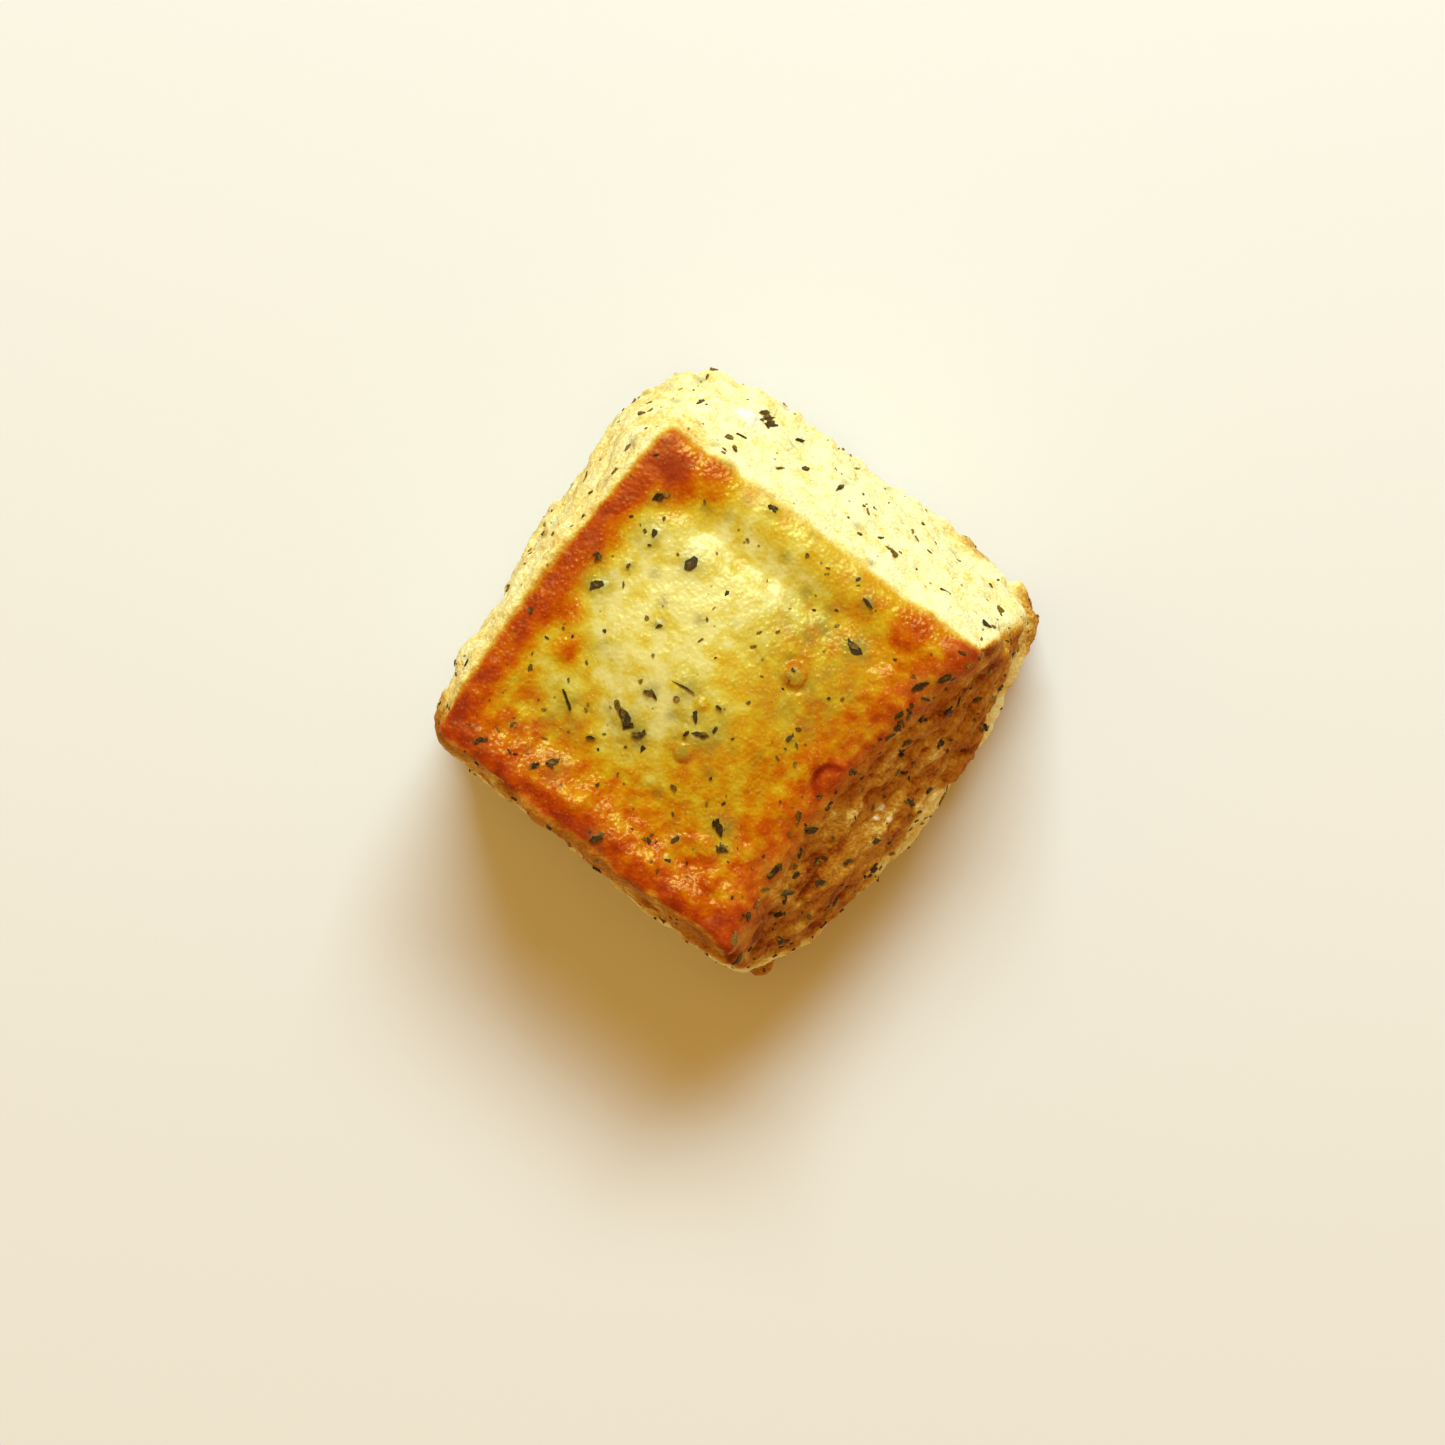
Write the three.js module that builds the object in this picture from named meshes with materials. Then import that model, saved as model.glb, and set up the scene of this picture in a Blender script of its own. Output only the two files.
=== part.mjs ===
// A square herb scone, baked as one piece: a knife-cut block of layered dough that spread on the
// tray, swelled between its corners as it rose, split along one layer and leaned over towards -Y.
//
// Frame, in millimetres: +Z up, the flat base on Z = 0, and the origin under the middle of the
// object's box. The four cut sides face -X, +X, -Y and +Y.

import * as THREE from "three";
import { mergeVertices } from "three/addons/utils/BufferGeometryUtils.js";

// ---- Driving dimensions ----------------------------------------------------------------------

const HEIGHT = 41; // from the tray to the top edge

const BASE_WIDTH = 61.5; // the base crust, along X
const BASE_DEPTH = 64.5; // along Y
const TOP_WIDTH = 55; // the glazed top, along X
const TOP_DEPTH = 55; // along Y
const TOP_SLIDE_X = -0.6; // how far the top slid from over the base
const TOP_SLIDE_Y = -6.6;
const TOP_HOLLOW = 5; // how far the top's +X edge bows inwards at its middle
const TOP_BULGE = 1.4; // how far its -X edge bows outwards

// Where the swollen sides are fullest, each side bows out past a line between its corners.
const SWELL_HEIGHT = 16;
const BOW_MINUS_X = 1.6;
const BOW_PLUS_X = 6.2;
const BOW_MINUS_Y = 1.2;
const BOW_PLUS_Y = 2.4;

// Each upright corner: how far it swells out in X and in Y at that height, its rounding in plan
// there, and how far its top is drawn in along X (less than 0 is pushed out).
const CORNERS = {
  minusXminusY: { swellX: 0.4, swellY: 0, round: 3, drawnIn: -1 },
  plusXminusY: { swellX: 0.5, swellY: 2.5, round: 5, drawnIn: 2.4 },
  plusXplusY: { swellX: 1.5, swellY: 4.5, round: 3, drawnIn: 0 },
  minusXplusY: { swellX: 6, swellY: 3.2, round: 12, drawnIn: 0 },
};

const BASE_EDGE = 1.6; // rounding of the edge that stood on the tray
const TOP_EDGE = 1.4; // rounding of the knife-cut top edge
const CORNER_BASE = 4; // rounding of each upright corner, in plan, at the base
const CORNER_TOP = 2.2; // at the top edge

// The dough opened along one layer as it rose, with most of its mouth on +X and +Y.
const SPLIT_HEIGHT = 15.5;
const SPLIT_GAPE = 2.4; // half the height of the mouth
const SPLIT_DEPTH = 3;
const SPLIT_SWAY = 1.2; // how far the split wanders up and down as it runs round

// Thinner layers stand out as soft ledges all round.
const LAYER_THICKNESS = 6.5;
const LAYER_RELIEF = 0.45;
const UNEVENNESS = 0.6; // swells and dips of the hand-cut sides

// The top crust: a raised rim, a shallow trough inside it and a low dome in the middle.
const RIM_RISE = 0.9;
const RIM_INSET = 2.6; // from the top's edge to the crest of the rim
const TROUGH_DEPTH = 1;
const TROUGH_INSET = 8; // from the top's edge to the bottom of the trough
const DOME_RISE = 1.8;
const SLUMP = 3.2; // how far the +X edge sinks at its middle
const SLUMP_REACH = 9; // how far in from the +X edge the crust bends down

const CRUST_COLOUR = 0xd9a441;

// ---- Mesh density ----------------------------------------------------------------------------

const COLUMNS = 24; // across each side
const EDGE_ROWS = 2; // in each rounded edge
const LOWER_ROWS = 6; // from the base edge up to the split
const UPPER_ROWS = 10; // from the split up to the top edge
const ROWS = LOWER_ROWS + UPPER_ROWS + 2 * EDGE_ROWS;

// ---- Helpers ---------------------------------------------------------------------------------

const { clamp, lerp, smoothstep } = THREE.MathUtils;
const QUARTER_TURN = Math.PI / 2;

// A bell of height 1 and the given half width, centred on 0.
const bell = (distance, halfWidth) => Math.exp(-((distance / halfWidth) ** 2));

// 1 between the corners of a side, falling to 0 at both corners; along runs from -1 to 1.
const betweenCorners = (along) => 1 - along ** 4;

// Slow waves from -1 to 1, so that no two stretches of a side are alike.
function waves(x, y, z) {
  const first = Math.sin(0.16 * x - 0.07 * y + 0.11 * z);
  const second = Math.sin(0.09 * x + 0.19 * y - 0.23 * z + 2);
  return (first + second) / 2;
}

// ---- The outline at one height ---------------------------------------------------------------

// A row's height up the side, and how far its rounded edge draws it in.
function rowPlace(row) {
  const split = EDGE_ROWS + LOWER_ROWS;
  if (row < EDGE_ROWS) {
    const turn = (row / EDGE_ROWS) * QUARTER_TURN;
    return { z: BASE_EDGE * (1 - Math.cos(turn)), inset: BASE_EDGE * (1 - Math.sin(turn)) };
  }
  if (row > split + UPPER_ROWS) {
    const turn = ((row - split - UPPER_ROWS) / EDGE_ROWS) * QUARTER_TURN;
    return { z: HEIGHT - TOP_EDGE * (1 - Math.sin(turn)), inset: TOP_EDGE * (1 - Math.cos(turn)) };
  }
  if (row < split) {
    return { z: lerp(BASE_EDGE, SPLIT_HEIGHT, (row - EDGE_ROWS) / LOWER_ROWS), inset: 0 };
  }
  return { z: lerp(SPLIT_HEIGHT, HEIGHT - TOP_EDGE, (row - split) / UPPER_ROWS), inset: 0 };
}

// How full the swelling is at a height: 0 at the base and the top, 1 at SWELL_HEIGHT.
function fullness(z) {
  const reach = z < SWELL_HEIGHT ? SWELL_HEIGHT : HEIGHT - SWELL_HEIGHT;
  return Math.max(0, 1 - ((z - SWELL_HEIGHT) / reach) ** 2);
}

// The upright corner nearest to (u, v).
const nearestCorner = (u, v) => CORNERS[(u > 0 ? "plusX" : "minusX") + (v > 0 ? "plusY" : "minusY")];

// Draws a point of the unit square's edge in to a corner arc of the given radius.
function roundCorner(u, v, radius) {
  const point = new THREE.Vector2(u, v);
  const straight = 1 - radius;
  const core = new THREE.Vector2(clamp(u, -straight, straight), clamp(v, -straight, straight));
  const outward = point.sub(core).normalize();
  return { point: core.addScaledVector(outward, radius), outward };
}

// How wide the split stands open round the sides, from 0 (closed) to 1.
function splitOpenness(u, v) {
  const plusX = u > Math.abs(v) ? betweenCorners(v) : 0;
  const plusY = v > Math.abs(u) ? betweenCorners(u) * smoothstep(-u, -0.3, 0.6) : 0;
  const elsewhere = 0.15;
  return Math.max(plusX, plusY, elsewhere);
}

// How far the layered side stands out from a smooth one, or is cut in from it.
function sideRelief(u, v, point, z) {
  const mouth = bell(z - SPLIT_HEIGHT, SPLIT_GAPE) * splitOpenness(u, v);
  const layers = Math.sin((2 * Math.PI * z) / LAYER_THICKNESS + 2 * waves(point.x, point.y, 0));
  const rough = LAYER_RELIEF * layers + UNEVENNESS * waves(point.x, point.y, z);
  return rough * Math.sqrt(fullness(z)) - SPLIT_DEPTH * mouth;
}

// Where one upright corner's ridge, not yet rounded, passes height z.
function ridge(signU, signV, z, inset) {
  const corner = nearestCorner(signU, signV);
  const rise = z / HEIGHT;
  const swell = fullness(z);
  const x = lerp(BASE_WIDTH / 2, TOP_WIDTH / 2 - corner.drawnIn, rise) + corner.swellX * swell;
  const y = lerp(BASE_DEPTH, TOP_DEPTH, rise) / 2 + corner.swellY * swell;
  return new THREE.Vector2(signU * (x - inset), signV * (y - inset));
}

// The point of the outline at height z towards (u, v), a point on the edge of the unit square.
function outlinePoint(u, v, z, inset) {
  const rise = z / HEIGHT;
  const swell = fullness(z);
  const end = z < SWELL_HEIGHT ? CORNER_BASE : CORNER_TOP;
  const radius = Math.max(lerp(end, nearestCorner(u, v).round, swell) - inset, 0.5);
  const { point: on, outward } = roundCorner(u, v, radius / (BASE_WIDTH / 2));

  const minusYSide = ridge(-1, -1, z, inset).lerp(ridge(1, -1, z, inset), (1 + on.x) / 2);
  const plusYSide = ridge(-1, 1, z, inset).lerp(ridge(1, 1, z, inset), (1 + on.x) / 2);
  const point = minusYSide.lerp(plusYSide, (1 + on.y) / 2);
  point.addScaledVector(outward, sideRelief(u, v, point, z));

  const bowX = on.x > 0 ? BOW_PLUS_X : BOW_MINUS_X;
  const bowY = on.y > 0 ? BOW_PLUS_Y : BOW_MINUS_Y;
  const topBow = on.x > 0 ? -TOP_HOLLOW : TOP_BULGE;
  const bow = bowX * swell + topBow * smoothstep(rise, 0.5, 1);
  point.x += bow * on.x ** 3 * (1 - on.y ** 2) + TOP_SLIDE_X * rise;
  point.y += bowY * swell * on.y ** 3 * (1 - on.x ** 2) + TOP_SLIDE_Y * rise;
  return point;
}

// ---- The top crust ---------------------------------------------------------------------------

// The least of some distances, eased where two of them are alike so that corners come out round.
const softLeast = (...distances) =>
  distances.reduce((sum, distance) => sum + Math.max(distance, 0.01) ** -3, 0) ** (-1 / 3);

// Rise of the top crust above HEIGHT, where u and v run from -1 to 1 across the top.
function topRelief(u, v) {
  const fromMinusX = ((1 + u) * TOP_WIDTH) / 2;
  const fromPlusX = ((1 - u) * TOP_WIDTH) / 2;
  const fromMinusY = ((1 + v) * TOP_DEPTH) / 2;
  const fromPlusY = ((1 - v) * TOP_DEPTH) / 2;
  const fromEdge = softLeast(fromMinusX, fromPlusX, fromMinusY, fromPlusY);

  const rim = RIM_RISE * bell(fromEdge - RIM_INSET, RIM_INSET);
  const trough = TROUGH_DEPTH * bell(fromEdge - TROUGH_INSET, TROUGH_INSET / 2);
  const dome = DOME_RISE * bell(Math.hypot(u, v), 0.6);
  const slump = SLUMP * (1 - v * v) * (1 - smoothstep(fromPlusX, 0, SLUMP_REACH));
  return rim - trough + dome - slump;
}

// ---- The solid -------------------------------------------------------------------------------

function makeScone() {
  const geometry = new THREE.BoxGeometry(2, 2, ROWS, COLUMNS, COLUMNS, ROWS);
  const corners = geometry.attributes.position;
  for (let i = 0; i < corners.count; i += 1) {
    const u = corners.getX(i);
    const v = corners.getY(i);
    const row = corners.getZ(i) + ROWS / 2;
    const { z, inset } = rowPlace(row);

    // Rings of the base and the top are copies of their outline, drawn in towards the middle.
    const ring = Math.max(Math.abs(u), Math.abs(v));
    const edge = outlinePoint(ring ? u / ring : 1, ring ? v / ring : 0, z, inset);
    const middle = new THREE.Vector2(TOP_SLIDE_X, TOP_SLIDE_Y).multiplyScalar(z / HEIGHT);
    const point = middle.lerp(edge, ring);
    const rise = topRelief(u, v) * smoothstep(z, HEIGHT / 2, HEIGHT);
    const sway = SPLIT_SWAY * waves(point.x, point.y, 0) * fullness(z) * ring;
    corners.setXYZ(i, point.x, point.y, z + rise + sway);
  }
  geometry.deleteAttribute("normal");
  geometry.deleteAttribute("uv");

  // The origin goes under the middle of the box.
  const middle = new THREE.Box3().setFromBufferAttribute(corners).getCenter(new THREE.Vector3());
  geometry.translate(-middle.x, -middle.y, 0);
  const closed = mergeVertices(geometry, 1e-4);
  closed.computeVertexNormals();
  return closed;
}

// ---- Scene -----------------------------------------------------------------------------------

const crust = new THREE.MeshStandardMaterial({ color: CRUST_COLOUR, roughness: 0.55, metalness: 0 });

const scone = new THREE.Mesh(makeScone(), crust);
scone.name = "scone";

const part = new THREE.Group();
part.add(scone);

export default part;
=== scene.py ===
"""A square herb scone on a pale floor: egg-washed top crust, layered crumbly sides, herb flakes.

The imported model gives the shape. Its one node is rebuilt here as a fine mesh that carries the
flaky layers, crumb, blisters and browning. Sizes in the helpers are in millimetres, in the frame
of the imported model, and go to metres where a mesh is written. Places seen from above are measured
from the middle of the base crust.
"""

import math
import random

import bmesh
import bpy
import numpy as np
from mathutils import Matrix, Vector, noise
from mathutils.bvhtree import BVHTree


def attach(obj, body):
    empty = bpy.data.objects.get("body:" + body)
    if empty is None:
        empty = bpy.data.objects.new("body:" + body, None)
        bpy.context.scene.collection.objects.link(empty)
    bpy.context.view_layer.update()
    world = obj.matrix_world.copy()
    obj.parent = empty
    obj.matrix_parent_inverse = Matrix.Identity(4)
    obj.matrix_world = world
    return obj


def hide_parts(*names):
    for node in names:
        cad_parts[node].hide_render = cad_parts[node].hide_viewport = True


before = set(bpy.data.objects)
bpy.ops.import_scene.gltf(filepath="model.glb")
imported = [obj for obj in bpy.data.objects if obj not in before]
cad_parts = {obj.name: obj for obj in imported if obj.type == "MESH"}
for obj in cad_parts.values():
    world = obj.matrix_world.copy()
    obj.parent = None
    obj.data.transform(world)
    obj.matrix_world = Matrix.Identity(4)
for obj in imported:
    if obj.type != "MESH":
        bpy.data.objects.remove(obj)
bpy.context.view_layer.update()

MM = 0.001

# ---- Sizes, in millimetres -------------------------------------------------------------------

GRAIN = 0.49  # edge of the fine mesh's cells
WELD = 0.01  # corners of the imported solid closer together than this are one
TOP_EDGE_HEIGHT = 41.0  # of the rim of the top crust
TOP_HOLLOW = 4.6  # how far the top's +X edge bows inwards at its middle
TOP_BULGE = 1.3  # how far its -X edge bows outwards

PLATEAU_RISE = 1.25  # of the middle of the top over the valley behind its raised rim
SPLIT_HEIGHT = 15.5  # where the dough opened
SPLIT_CUT = 2.4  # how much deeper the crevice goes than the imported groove
LIP_DROP = 2.4  # from the crevice down to the lip that stands out under it
LIP_REACH = 1.5  # how far it stands out
CRACK_DEPTH = 1.2  # of the open cracks between two layers
# Heights of the layers' upper sides; the last is above the dough.
LAYERS = (2.6, 5.4, 8.1, 11.6, SPLIT_HEIGHT, 18.4, 22.0, 24.6, 28.3, 31.2, 34.6, 37.3, 60.0)

# Round bubbles in the glaze and uneven lumps under it: x, y, radius, height.
BUBBLES = (
    (7.2, 3.3, 1.7, 0.85),
    (-0.7, -7.7, 0.9, 0.4),
    (1.3, -14.6, 1.4, 0.45),
)
LUMPS = (
    (20.0, -4.2, 2.4, 1.1),
    (15.5, -27.3, 2.4, 0.8),
    (12.0, -23.2, 1.9, 0.5),
    (-20.2, -12.8, 2.2, 0.3),
    (3.5, -27.0, 2.1, 0.5),
    (-6.5, -29.0, 1.8, 0.5),
    (17.5, -20.5, 1.7, 0.5),
)

# The curved crease beside the lump near the +X edge.
CREASE = (20.6, -5.4)
CREASE_RADIUS = 2.6

# On the sides, seen from above: a pit full of herbs, a white curd beside it, and loose crumbs.
PIT = (-18.2, 31.2)
CURD = (-20.4, 28.6)
CRUMBS = ((29.4, -5.6), (30.4, -4.5), (29.2, -3.8))
CRUMB_RADIUS = 0.5

# The larger herb flakes that show on the top: x, y, length, width, turn in degrees.
TOP_FLAKES = (
    (-22.9, 11.9, 2.1, 1.5, 60),
    (-9.3, 20.3, 1.6, 1.0, 20),
    (-13.7, 7.1, 2.2, 1.7, 100),
    (-24.8, 0.1, 1.5, 1.1, 90),
    (-22.6, -3.4, 2.3, 1.6, 40),
    (-20.4, 7.4, 1.3, 0.8, 120),
    (11.7, 11.3, 3.0, 1.9, 154),
    (9.3, 17.6, 2.0, 0.6, 170),
    (6.3, 19.6, 1.0, 0.6, 60),
    (-8.1, -15.7, 3.1, 1.9, 160),
    (-5.0, -16.5, 2.1, 1.2, 55),
    (-4.0, -7.3, 4.3, 0.5, 10),
    (-7.4, -10.8, 1.9, 0.7, 20),
    (1.6, -6.6, 1.0, 0.6, 0),
    (-0.3, -9.7, 1.9, 0.9, 130),
    (1.8, -11.2, 2.0, 1.1, 30),
    (3.0, -9.4, 1.4, 0.7, 90),
    (0.2, -12.2, 1.2, 0.6, 60),
    (-15.9, -18.7, 3.4, 0.4, 148),
    (-20.1, -25.9, 1.1, 0.6, 70),
    (-12.4, -26.8, 2.6, 1.0, 55),
    (-14.1, -28.8, 1.6, 0.8, 60),
    (-10.2, -20.8, 1.3, 0.6, 30),
    (11.8, -20.0, 2.5, 1.6, 140),
    (13.9, -22.3, 1.7, 0.9, 30),
    (7.9, -25.1, 1.2, 0.8, 60),
    (8.8, -28.0, 1.1, 0.5, 20),
    (21.6, -20.4, 2.9, 1.3, 80),
    (12.0, -4.0, 1.1, 0.7, 80),
    (21.8, -2.5, 1.2, 0.8, 100),
    (-22.4, -30.4, 1.5, 0.8, 50),
    (24.4, 15.8, 2.1, 1.5, 60),
    (22.2, 12.9, 2.3, 0.9, 60),
    (24.0, 11.9, 1.9, 0.5, 20),
    (22.4, 7.8, 1.8, 1.0, 70),
    (24.2, 20.1, 1.5, 0.5, 10),
    (-1.0, -31.6, 1.9, 1.1, 60),
    (-20.6, 1.5, 1.1, 0.5, 100),
    (-12.0, -2.6, 1.2, 0.5, 60),
)

# ---- Helpers ---------------------------------------------------------------------------------


def smooth(value, low, high):
    """0 below low, 1 above high and an eased slope between them; low may be the larger."""
    t = np.clip((value - low) / (high - low), 0.0, 1.0)
    return t * t * (3.0 - 2.0 * t)


def bell(distance, width):
    """1 at distance 0, falling to a third at the width and soon to nothing."""
    return np.exp(-((distance / width) ** 2))


def swells(points, size, seed, octaves=2):
    """Soft random values from about -1 to 1, with features about size across."""
    shift = Vector((13.7, 7.9, 3.3)) * seed
    return np.array([noise.fractal(Vector(p) / size + shift, 1.0, 2.0, octaves) for p in points])


def between(first, last, share):
    return first + (last - first) * share


def link(name, data):
    """A new object in the scene."""
    piece = bpy.data.objects.new(name, data)
    bpy.context.scene.collection.objects.link(piece)
    return piece


def coordinates(mesh):
    """The vertices of a mesh, one row each, in millimetres."""
    flat = np.empty(len(mesh.vertices) * 3, np.float32)
    mesh.vertices.foreach_get("co", flat)
    return flat.reshape(-1, 3).astype(float) / MM


def normals(mesh):
    flat = np.empty(len(mesh.vertices) * 3, np.float32)
    mesh.vertices.foreach_get("normal", flat)
    return flat.reshape(-1, 3).astype(float)


def set_coordinates(mesh, points):
    mesh.vertices.foreach_set("co", (points * MM).astype(np.float32).ravel())
    mesh.update()


def paint(mesh, name, values):
    """Stores one number for each vertex, for the material to read."""
    layer = mesh.attributes.new(name, "FLOAT", "POINT")
    layer.data.foreach_set("value", np.clip(values, 0.0, 1.0).astype(np.float32))


def middle_of_base(points):
    """The middle in plan of the flat crust that stands on the floor."""
    on_floor = points[points[:, 2] < 0.01]
    return (on_floor.min(axis=0) + on_floor.max(axis=0))[:2] / 2


PACKED = coordinates(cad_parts["scone"].data)
HEIGHT = PACKED[:, 2].max()
BASE_MIDDLE = middle_of_base(PACKED)


def from_spot(points, x, y):
    """Distance in plan from a place that is measured from the middle of the base crust."""
    return np.hypot(points[:, 0] - x - BASE_MIDDLE[0], points[:, 1] - y - BASE_MIDDLE[1])


def spot(points, x, y, radius):
    """1 at a place on the top, falling to 0 over about the radius."""
    return bell(from_spot(points, x, y), radius)


def lump(points, x, y, radius):
    """1 at the place on a side that shows there from above, falling to 0 all round it."""
    seen = points[(from_spot(points, x, y) < 0.7) & (points[:, 2] > 0.2 * HEIGHT)]
    return bell(np.linalg.norm(points - seen.mean(axis=0), axis=1), radius)


def greatest(first, *others):
    """The greatest of some values, vertex by vertex."""
    return np.maximum.reduce([first, *others])


# ---- The fine mesh ---------------------------------------------------------------------------

ANY_ANGLE = 3.2  # radians; over half a turn, so every pair of triangles may join


def fine_mesh():
    """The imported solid, with its facets rounded off, in even cells of the size of GRAIN."""
    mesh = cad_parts["scone"].data.copy()
    shell = bmesh.new()
    shell.from_mesh(mesh)
    bmesh.ops.remove_doubles(shell, verts=shell.verts, dist=WELD * MM)
    bmesh.ops.join_triangles(
        shell, faces=shell.faces, angle_face_threshold=ANY_ANGLE, angle_shape_threshold=ANY_ANGLE
    )
    shell.to_mesh(mesh)
    shell.free()
    mesh.materials.clear()
    piece = link("scone_dough", mesh)
    rounder = piece.modifiers.new("rounder", "SUBSURF")
    rounder.levels = 2
    cells = piece.modifiers.new("cells", "REMESH")
    cells.mode = "VOXEL"
    cells.voxel_size = GRAIN * MM
    ease = piece.modifiers.new("ease", "SMOOTH")
    ease.factor = 0.5
    ease.iterations = 4
    bpy.context.view_layer.update()
    evaluated = piece.evaluated_get(bpy.context.evaluated_depsgraph_get())
    fine = bpy.data.meshes.new_from_object(evaluated)
    piece.modifiers.clear()
    piece.data = fine
    piece.data.name = "scone_dough"
    return piece


class Top:
    """The top crust's outline in plan: four corners, +X bowed inwards and -X bowed outwards."""

    def __init__(self, points):
        high = points[points[:, 2] > TOP_EDGE_HEIGHT - 0.6]

        def corner(towards_x, towards_y):
            return high[np.argmax(high[:, 0] * towards_x + high[:, 1] * towards_y)][:2]

        self.minus_plus = corner(-1, 1)
        self.plus_plus = corner(1, 1)
        self.plus_minus = corner(1, -1)
        self.minus_minus = corner(-1, -1)

    def from_edges(self, points):
        """Distance in from the edges on -X, +X, -Y and +Y; less than 0 is outside."""
        x, y, _ = points.T
        low_y, high_y = self.plus_minus[1], self.plus_plus[1]
        along = np.clip((y - low_y) / (high_y - low_y), 0.0, 1.0)
        bow = 4.0 * along * (1.0 - along)
        right = between(self.plus_minus[0], self.plus_plus[0], along) - TOP_HOLLOW * bow
        left = between(self.minus_minus[0], self.minus_plus[0], along) - TOP_BULGE * bow
        across = np.clip((x - left) / (right - left), 0.0, 1.0)
        back = between(self.minus_plus[1], self.plus_plus[1], across)
        front = between(self.minus_minus[1], self.plus_minus[1], across)
        return x - left, right - x, y - front, back - y


class Places:
    """Where every vertex of the fine mesh lies: masks are 1 on a part and 0 off it."""

    def __init__(self, mesh):
        self.points = coordinates(mesh)
        self.facing = normals(mesh)
        _, _, z = self.points.T
        nx, ny, nz = self.facing.T
        edges = Top(self.points).from_edges(self.points)
        self.in_minus_x, self.in_plus_x, self.in_minus_y, self.in_plus_y = edges
        upward = smooth(nz, 0.1, 0.4) * smooth(z, 0.7 * HEIGHT, 0.8 * HEIGHT)
        ragged_front = self.in_minus_y + swells(self.points, 4.0, 17)
        sharp_edges = np.minimum.reduce([self.in_minus_x, ragged_front, self.in_plus_y + 0.7])
        self.top = upward * smooth(sharp_edges, -0.9, 0.5) * smooth(self.in_plus_x, -4.5, 0.5)
        self.base = smooth(nz, -0.4, -0.8)
        self.side = (1.0 - self.top) * (1.0 - self.base)
        self.plus_x = self.side * smooth(nx, 0.35, 0.8)
        self.minus_x = self.side * smooth(-nx, 0.35, 0.8)
        self.plus_y = self.side * smooth(ny, 0.35, 0.8)
        self.minus_y = self.side * smooth(-ny, 0.35, 0.8)
        self.crumb = np.zeros(len(self.points))  # how far the crumb stands out, set later


# ---- Shape: layers, crevices, crumb and blisters ---------------------------------------------


def layer_height(points):
    """Height in the layered dough, whose layers wander up and down."""
    return points[:, 2] + 1.5 * swells(points * (1, 1, 0), 15.0, 1)


def layer_relief(points):
    """The sides' thin layers: each stands out or in by itself, with cracks between some."""
    height = layer_height(points)
    flat = points * (1, 1, 0.2)
    relief = np.zeros(len(points))
    bottom = 0.0
    for number, top in enumerate(LAYERS):
        inside = smooth(height, bottom - 0.3, bottom + 0.3) * smooth(height, top + 0.3, top - 0.3)
        relief += inside * swells(flat, 10.0, 20 + number, 3)
        open_here = smooth(swells(points * (1, 1, 0), 8.0, 40 + number), 0.0, 0.3)
        relief -= CRACK_DEPTH * bell(height - top, 0.45) * open_here
        bottom = top
    return relief


def split_relief(points, place):
    """The crevice and the lip under it, where the dough opened: on +X and the -X end of +Y."""
    height = layer_height(points)
    ragged = 0.75 + 0.6 * swells(points, 5.0, 3)
    on_plus_y = place.plus_y * smooth(-points[:, 0], -4.0, 14.0)
    opened = np.maximum(place.plus_x, on_plus_y) * ragged
    lip = LIP_REACH * bell(height - SPLIT_HEIGHT + LIP_DROP, 1.4)
    return opened * (lip - SPLIT_CUT * bell(height - SPLIT_HEIGHT, 0.8))


def pores(points, size, seed):
    """Round pits of the open crumb, 1 at the middle of a pit."""
    shift = Vector((5.1, 9.2, 2.7)) * seed
    depth = np.array([noise.voronoi(Vector(p) / size + shift)[0][0] for p in points])
    return 1.0 - smooth(depth, 0.12, 0.42)


def crumb_relief(place):
    """Lumps and pits of the torn crumb, from wide swells down to single grains."""
    points = place.points
    torn = 0.6 * swells(points, 8.0, 9) + 0.36 * swells(points, 3.4, 11, 3)
    torn += (0.18 + 0.12 * place.plus_x) * swells(points, 1.3, 12, 2)
    torn += 1.3 * place.plus_y * smooth(points[:, 2], 34.0, 22.0) * swells(points, 4.2, 16)
    torn -= 0.5 * pores(points, 3.1, 2) * smooth(swells(points, 7.0, 13), -0.1, 0.4)
    torn -= 0.4 * pores(points, 1.9, 3) * place.plus_x
    torn -= 1.9 * lump(points, *PIT, 2.6) - 1.4 * lump(points, *CURD, 2.2)
    for x, y in CRUMBS:
        torn += 0.5 * lump(points, x, y, CRUMB_RADIUS)
    return torn


def blister_relief(points):
    """Bubbles are round, each in a shallow ring; lumps have no regular outline."""
    relief = np.zeros(len(points))
    for x, y, radius, height in BUBBLES:
        away = from_spot(points, x, y)
        relief += height * np.clip(1.0 - (away / radius) ** 2, 0.0, None) ** 0.7
        relief -= 0.5 * height * bell(away - 1.3 * radius, 0.4)
    uneven = 1.1 * swells(points, 2.6, 15)
    for x, y, radius, height in LUMPS:
        relief += height * smooth(from_spot(points, x, y) + uneven, radius, 0.3 * radius)
    return relief


def plateau_relief(place):
    """The middle of the top stands over a valley inside its raised -X and +Y rims."""
    wander = 1.6 * swells(place.points, 6.0, 14)
    in_from_back = smooth(place.in_plus_y + wander, 5.5, 11.5)
    in_from_left = smooth(place.in_minus_x + wander, 4.5, 8.5)
    fades = smooth(place.in_minus_y, 10.0, 26.0)
    return PLATEAU_RISE * np.minimum(in_from_back, in_from_left) * fades


def crease(points):
    """1 in the curved crease near the +X edge, which opens towards +X."""
    ring = bell(from_spot(points, *CREASE) - CREASE_RADIUS, 0.55)
    return ring * smooth(points[:, 0], 21.0, 18.0)


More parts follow.
